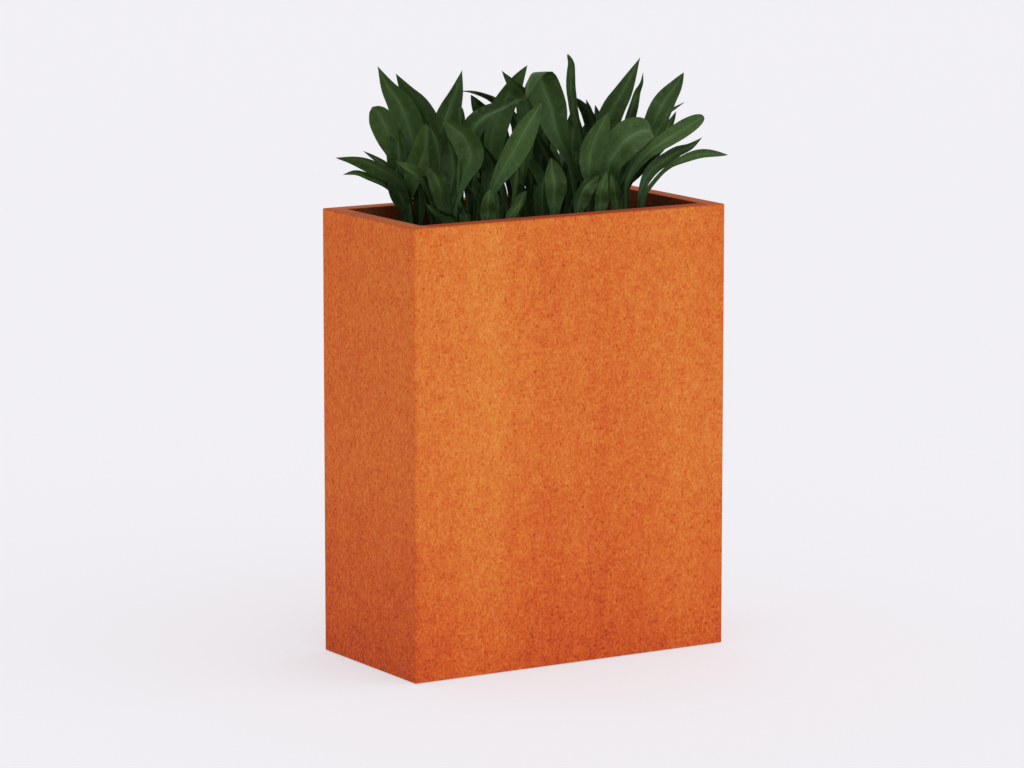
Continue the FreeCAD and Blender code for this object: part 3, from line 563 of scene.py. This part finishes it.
     (0.185, -0.05, 1.105), (0.2, -0.05, 1.14), (0.225, -0.05, 1.16), (0.25, -0.05, 1.175)]),
    ((0.135, -0.06), 0.063, -13, 0.95, 0.36, 0.55, [(0.13, -0.06, 1.005), (0.13, -0.07, 1.045),
     (0.12, -0.08, 1.08), (0.12, -0.08, 1.11), (0.125, -0.09, 1.145), (0.135, -0.1, 1.175),
     (0.15, -0.11, 1.21)]),
    ((0.245, 0.05), 0.02, -10, 1.1, 0.3, 0.3, [(0.28, 0.05, 1.015), (0.31, 0.05, 1.045),
     (0.34, 0.04, 1.085), (0.37, 0.04, 1.12), (0.385, 0.04, 1.16), (0.39, 0.03, 1.18),
     (0.415, 0.03, 1.19), (0.44, 0.02, 1.205)]),
    ((0.245, 0.04), 0.036, -4, 1.0, 0.3, 0.1, [(0.275, 0.04, 1.015), (0.31, 0.04, 1.055),
     (0.35, 0.04, 1.085), (0.38, 0.03, 1.115), (0.395, 0.03, 1.145), (0.41, 0.03, 1.165),
     (0.415, 0.02, 1.185)]),
    ((0.235, -0.02), 0.04, -58, 0.9, 0.3, 0.6, [(0.26, -0.02, 1.02), (0.285, -0.02, 1.05),
     (0.315, -0.02, 1.085), (0.325, -0.03, 1.12), (0.335, -0.03, 1.15), (0.345, -0.04, 1.175),
     (0.36, -0.04, 1.2)]),
    ((0.225, -0.07), 0.043, -32, 0.55, 0.28, 0.75, [(0.225, -0.07, 0.995), (0.22, -0.08, 1.045),
     (0.235, -0.08, 1.07), (0.25, -0.09, 1.095), (0.275, -0.1, 1.12), (0.345, -0.1, 1.155),
     (0.41, -0.1, 1.185)]),
    ((0.24, -0.085), 0.032, -20, 1.1, 0.25, 0.15, [(0.25, -0.085, 1.005), (0.255, -0.085, 1.03),
     (0.275, -0.075, 1.055), (0.3, -0.07, 1.075), (0.33, -0.07, 1.09), (0.36, -0.07, 1.105),
     (0.385, -0.08, 1.115), (0.42, -0.08, 1.135)]),
    ((0.245, -0.09), 0.023, -26, 1.0, 0.5, 0.6, [(0.255, -0.09, 1.005), (0.265, -0.09, 1.025),
     (0.295, -0.09, 1.055), (0.315, -0.09, 1.07), (0.335, -0.1, 1.085), (0.4, -0.1, 1.1),
     (0.47, -0.11, 1.095)]),
    ((0.02, -0.1), 0.055, -11, 0.85, 0.28, 0.45, [(0.015, -0.1, 1), (0.015, -0.1, 1.03),
     (0.01, -0.11, 1.06), (0.005, -0.11, 1.085), (-0.005, -0.12, 1.12)]),
    ((0.015, -0.06), 0.038, -49, 0.9, 0.25, 0.0, [(0.01, -0.06, 0.995), (0.01, -0.06, 1.015),
     (0.01, -0.06, 1.045), (0.015, -0.06, 1.07)]),
    ((0.07, -0.11), 0.047, 1, 0.9, 0.3, 0.2, [(0.07, -0.11, 1), (0.075, -0.11, 1.02),
     (0.08, -0.12, 1.045), (0.1, -0.12, 1.06), (0.115, -0.13, 1.075)]),
    ((0.125, -0.11), 0.037, -2, 1.0, 0.22, 0.8, [(0.125, -0.11, 0.995), (0.13, -0.11, 1.015),
     (0.125, -0.12, 1.04), (0.13, -0.12, 1.055), (0.14, -0.12, 1.08)]),
    ((0.14, -0.1), 0.018, -29, 1.0, 0.2, 0.6, [(0.135, -0.1, 0.995), (0.13, -0.1, 1.01),
     (0.12, -0.1, 1.025), (0.115, -0.1, 1.035)]),
    ((0.175, -0.11), 0.028, -32, 0.9, 0.25, 0.6, [(0.175, -0.11, 0.995), (0.17, -0.11, 1.02),
     (0.16, -0.12, 1.045), (0.15, -0.12, 1.075)]),
    ((-0.05, -0.05), 0.033, -62, 0.8, 0.2, 0.7, [(-0.045, -0.05, 0.99), (-0.045, -0.05, 1.005),
     (-0.035, -0.05, 1.025), (-0.025, -0.05, 1.04)]),
    ((-0.11, -0.1), 0.024, -23, 1.0, 0.2, 0.6, [(-0.1, -0.1, 0.985), (-0.09, -0.1, 1.005),
     (-0.075, -0.1, 1.02), (-0.065, -0.1, 1.035)]),
    ((-0.22, 0), 0.056, -17, 0.9, 0.3, 0.0, [(-0.22, 0, 1.04), (-0.22, 0, 1.085), (-0.22, 0, 1.125),
     (-0.235, -0.01, 1.165), (-0.255, -0.02, 1.195)]),
    ((-0.21, -0.03), 0.052, -47, 0.9, 0.3, 0.0, [(-0.21, -0.03, 1.03), (-0.205, -0.03, 1.065),
     (-0.2, -0.03, 1.095), (-0.205, -0.03, 1.13), (-0.22, -0.04, 1.165)]),
    ((-0.08, -0.06), 0.026, 40, 1.0, 0.2, 0.6, [(-0.075, -0.06, 0.995), (-0.07, -0.06, 1.025),
     (-0.065, -0.06, 1.055), (-0.06, -0.06, 1.085), (-0.055, -0.06, 1.115)]),
    ((-0.11, -0.06), 0.03, -38, 0.9, 0.2, 0.1, [(-0.105, -0.06, 0.99), (-0.105, -0.06, 1.01),
     (-0.105, -0.06, 1.03), (-0.11, -0.06, 1.05)]),
    ((0.135, 0.05), 0.057, -59, 0.9, 0.3, 0.1, [(0.13, 0.05, 0.985), (0.12, 0.05, 1.035),
     (0.105, 0.05, 1.075), (0.08, 0.05, 1.12), (0.055, 0.05, 1.16)]),
    ((0.06, 0.07), 0.053, -20, 0.9, 0.3, 0.05, [(0.06, 0.07, 1.01), (0.06, 0.07, 1.05),
     (0.06, 0.07, 1.09), (0.065, 0.07, 1.125), (0.08, 0.07, 1.17)]),
    ((0.125, 0.09), 0.053, -50, 0.9, 0.3, 0.15, [(0.125, 0.09, 1.005), (0.125, 0.09, 1.055),
     (0.12, 0.09, 1.1), (0.11, 0.09, 1.14), (0.1, 0.09, 1.18)]),
    ((-0.235, 0.06), 0.038, -15, 0.9, 0.2, 0.1, [(-0.235, 0.06, 0.99), (-0.235, 0.06, 1.03),
     (-0.235, 0.06, 1.07), (-0.23, 0.06, 1.12)]),
    ((0.245, 0.06), 0.04, -50, 0.9, 0.28, 0.1, [(0.265, 0.06, 1), (0.285, 0.06, 1.04),
     (0.3, 0.06, 1.08), (0.32, 0.06, 1.12)]),
    ((-0.055, 0.1), 0.054, -20, 0.8, 0.28, 0.05, [(-0.055, 0.1, 1.06), (-0.055, 0.1, 1.11),
     (-0.06, 0.1, 1.16), (-0.07, 0.1, 1.2)]),
]


FILLERS = 40
FILLER_HALF_ROW = 0.235
FILLER_REACH = 0.18  # how far back their tips may lean, from the middle of the box


def filler_leaves():
    """Shorter leaves between the tall ones, leaning outwards from the middle of the box."""
    rng = random.Random(SEED)
    leaves = []
    for i in range(FILLERS):
        x = FILLER_HALF_ROW * (2 * (i + rng.random()) / FILLERS - 1)
        y = rng.uniform(-0.01, 0.12)
        reach_x = 0.30 * x + rng.uniform(-0.06, 0.06)
        reach_y = min(0.7 * y + rng.uniform(-0.05, 0.06), FILLER_REACH - y)
        tall = rng.uniform(0.12, 0.23)
        # (share of the reach, share of the height): upright first, then leaning over
        rise = ((0.12, 0.40), (0.45, 0.78), (1.0, 1.0))
        points = [(x + reach_x * out, y + reach_y * out, SOIL_TOP + tall * up) for out, up in rise]
        width, turn, taper = rng.uniform(0.042, 0.066), rng.uniform(15, 100), rng.uniform(0.8, 1.1)
        bare, pale = 0.25, rng.uniform(0.0, 0.5)
        leaves.append(((x, y), width, turn, taper, bare, pale, points))
    return leaves


ROOT_DEPTH = 0.012
TONE_SPREAD = 0.08
ROOTS_CLOSER = 0.82  # the leaves root closer together than the clumps stand


def build_foliage():
    """One piece of leaves for each CAD clump, with the UVs and tone that the leaf material reads."""
    material = leaf_green()
    parts = {name: ([], [], [], []) for name in CLUMPS}
    rng = random.Random(SEED + 1)
    for number, (root, width, turn, taper, bare, pale, points) in enumerate([*LEAVES, *filler_leaves()]):
        start = (*root, SOIL_TOP - ROOT_DEPTH)
        verts, faces, uvs = leaf_mesh([start, *points], width, turn, taper, bare, number)
        name = min(CLUMPS, key=lambda clump: abs(CLUMP_X[clump] * ROOTS_CLOSER - root[0]))
        all_verts, all_faces, all_uvs, tones = parts[name]
        first = len(all_verts)
        all_verts += verts
        all_faces += [tuple(first + k for k in face) for face in faces]
        all_uvs += uvs
        # the listed leaves' paleness is painted light and shade; the fillers' paleness is random
        tones += [pale + rng.uniform(-TONE_SPREAD, TONE_SPREAD)] * len(verts)
    for name, (verts, faces, uvs, tones) in parts.items():
        leafage = make_piece("leaves_" + name[-1], verts, faces, material, "liner")
        mesh = leafage.data
        layer = mesh.uv_layers.new(name="blade")
        corners = np.zeros(len(mesh.loops), np.int32)
        mesh.loops.foreach_get("vertex_index", corners)
        layer.data.foreach_set("uv", np.array(uvs, np.float32)[corners].ravel())
        mesh.attributes.new("tone", "FLOAT", "POINT").data.foreach_set("value", np.array(tones, np.float32))
        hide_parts(name)


SMOOTH_ANGLE = math.radians(50)


def make_piece(name, verts, faces, material, body):
    """A mesh piece that rides on a body and wears the material it is given."""
    mesh = bpy.data.meshes.new(name)
    mesh.from_pydata([tuple(v) for v in verts], [], faces)
    mesh.validate()
    mesh.polygons.foreach_set("use_smooth", [True] * len(mesh.polygons))
    mesh.set_sharp_from_angle(angle=SMOOTH_ANGLE)
    mesh.materials.append(material)
    piece = bpy.data.objects.new(name, mesh)
    bpy.context.scene.collection.objects.link(piece)
    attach(piece, body)
    return piece


# --- soil -----------------------------------------------------------------------------------------
SOIL_STEP = 0.006  # spacing of the bed's points
SOIL_DIP = 0.006  # how far the bed's middle height lies under the CAD soil's top
CRUMB_HEIGHT = 0.0035
CRUMBS_PER_METRE = 28
CRUMB_NOISE = (0.7, 2.1, 5)  # roughness, scale from octave to octave, octaves
CHIPS = 420
CHIP_MARGIN = 0.012
CHIP_HEIGHT = 0.12


def build_soil():
    """The soil as a closed block with a crumbly top, and bark chips scattered on it."""
    low, high = SOIL
    nx = int((high.x - low.x) / SOIL_STEP)
    ny = int((high.y - low.y) / SOIL_STEP)
    verts, faces = [], []
    for j in range(ny + 1):
        for i in range(nx + 1):
            x = low.x + (high.x - low.x) * i / nx
            y = low.y + (high.y - low.y) * j / ny
            bump = noise.fractal(Vector((x, y, 0)) * CRUMBS_PER_METRE, *CRUMB_NOISE)
            verts.append((x, y, high.z - SOIL_DIP + CRUMB_HEIGHT * bump))
    for j in range(ny):
        for i in range(nx):
            a = j * (nx + 1) + i
            faces.append((a, a + 1, a + nx + 2, a + nx + 1))
    # the top's border, anticlockwise from the near left corner, and the walls and bottom under it
    border = list(range(nx + 1))
    border += [j * (nx + 1) + nx for j in range(1, ny + 1)]
    border += [ny * (nx + 1) + i for i in range(nx - 1, -1, -1)]
    border += [j * (nx + 1) for j in range(ny - 1, 0, -1)]
    first = len(verts)
    verts += [(verts[k][0], verts[k][1], low.z) for k in border]
    for n, k in enumerate(border):
        m = (n + 1) % len(border)
        faces.append((first + n, first + m, border[m], k))
    faces.append(tuple(reversed(range(first, first + len(border)))))
    soil = make_piece("soil_bed", verts, faces, compost(), "liner")
    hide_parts("soil")
    build_bark(low, high)


def build_bark(low, high):
    """Bark chips: low, tilted, uneven slabs, each a closed shape of five to seven sides."""
    rng = random.Random(SEED + 2)
    verts, faces = [], []
    for _ in range(CHIPS):
        x = rng.uniform(low.x + CHIP_MARGIN, high.x - CHIP_MARGIN)
        y = rng.uniform(low.y + CHIP_MARGIN, high.y - CHIP_MARGIN)
        size = rng.uniform(0.005, 0.013)
        centre = Vector((x, y, high.z - SOIL_DIP + 0.1 * size))
        turn, tilt = rng.uniform(0, math.tau), rng.uniform(-0.25, 0.25)
        count, first = rng.choice((5, 6, 7)), len(verts)
        # (height in CHIP_HEIGHT of the size, share of the reach) of the bottom, widest and top outlines
        for layer, grow in ((-1, 0.85), (1, 1.0), (2.2, 0.7)):
            for k in range(count):
                a = turn + math.tau * k / count
                reach = size * grow * (0.75 + 0.35 * math.sin(k * 2.3 + turn))
                dx, dy = math.cos(a) * reach, math.sin(a) * reach * 0.6
                verts.append(centre + Vector((dx, dy, CHIP_HEIGHT * size * layer + tilt * dx)))
        for layer in range(2):
            a, b = first + layer * count, first + (layer + 1) * count
            faces += [(a + k, a + (k + 1) % count, b + (k + 1) % count, b + k) for k in range(count)]
        faces.append(tuple(reversed(range(first, first + count))))
        faces.append(tuple(range(first + 2 * count, first + 3 * count)))
    make_piece("bark_chips", verts, faces, bark(), "liner")


# --- the CAD nodes' materials ----------------------------------------------------------------------
def dress_nodes():
    """Gives each CAD node that stays the procedural material of its slot."""
    slots = {part["node"]: part["material_slot"] for part in frame["record"]["subparts"]}
    looks = {
        "weathering_steel": weathering_steel(),
        "bare_steel": dull_steel(),
        "galvanised_steel": galvanised(),
        "zinc_plated_steel": zinc_plated(),
        "foot_plastic": moulded("foot_plastic", (0.018, 0.018, 0.018), (0.05, 0.048, 0.045), 0.6),
        "rubber": moulded("rubber", (0.012, 0.012, 0.012), (0.04, 0.038, 0.035), 0.85),
        "pipe_plastic": moulded("pipe_plastic", (0.07, 0.07, 0.075), (0.13, 0.13, 0.13), 0.5),
        "expanded_clay": granules(),
        "fleece": fleece(),
    }
    for name, node in nodes.items():
        if slots[name] in looks:
            node.data.materials.clear()
            node.data.materials.append(looks[slots[name]])


# --- studio ---------------------------------------------------------------------------------------
FLOOR_SIZE = 80.0
FLOOR_COLOUR = (0.36, 0.355, 0.375)
FLOOR_GLOW = (0.985, 0.975, 1.0)
FLOOR_GLOW_STRENGTH = 0.53
SKY = (0.98, 0.975, 1.0)
SKY_STRENGTH = 0.79
SUN_STRENGTH = 0.78
SUN_SPREAD = math.radians(75)
SUN_FROM = (0.42, -0.80, 1.15)


def build_studio():
    """A pale sky, a pale floor that glows a little, and one very soft light from the front right."""
    scene = bpy.context.scene
    scene.view_settings.view_transform = "Standard"
    world = bpy.data.worlds.new("studio")
    scene.world = world
    world.use_nodes = True
    background = world.node_tree.nodes["Background"]
    background.inputs["Color"].default_value = (*SKY, 1)
    background.inputs["Strength"].default_value = SKY_STRENGTH

    floor_mesh = bpy.data.meshes.new("floor")
    half = FLOOR_SIZE / 2
    corners = [(-half, -half, 0), (half, -half, 0), (half, half, 0), (-half, half, 0)]
    floor_mesh.from_pydata(corners, [], [(0, 1, 2, 3)])
    floor = bpy.data.objects.new("floor", floor_mesh)
    scene.collection.objects.link(floor)
    s = Shader("floor")
    s.set(Base_Color=FLOOR_COLOUR, Roughness=0.9, Specular_IOR_Level=0.1)
    s.set(Emission_Color=FLOOR_GLOW, Emission_Strength=FLOOR_GLOW_STRENGTH)
    floor_mesh.materials.append(s.material)

    data = bpy.data.lights.new("key", "SUN")
    data.energy = SUN_STRENGTH
    data.angle = SUN_SPREAD
    light = bpy.data.objects.new("key", data)
    light.rotation_euler = Vector(SUN_FROM).to_track_quat("Z", "Y").to_euler()
    scene.collection.objects.link(light)


def build_camera():
    data = bpy.data.cameras.new("camera")
    data.lens, data.sensor_width = LENS, SENSOR
    data.clip_end = FAR
    camera = bpy.data.objects.new("camera", data)
    bpy.context.scene.collection.objects.link(camera)
    level = math.cos(ELEVATION)
    outward = Vector((math.sin(AZIMUTH) * level, -math.cos(AZIMUTH) * level, math.sin(ELEVATION)))
    right = (-outward).cross(Vector((0, 0, 1))).normalized()
    up = right.cross(-outward)
    aim = (LOW + HIGH) / 2 + right * AIM_RIGHT + up * AIM_UP
    camera.location = aim + outward * DISTANCE
    camera.rotation_euler = (-outward).to_track_quat("-Z", "Y").to_euler()
    bpy.context.scene.camera = camera


build_camera()
build_studio()
dress_nodes()
build_soil()
build_foliage()
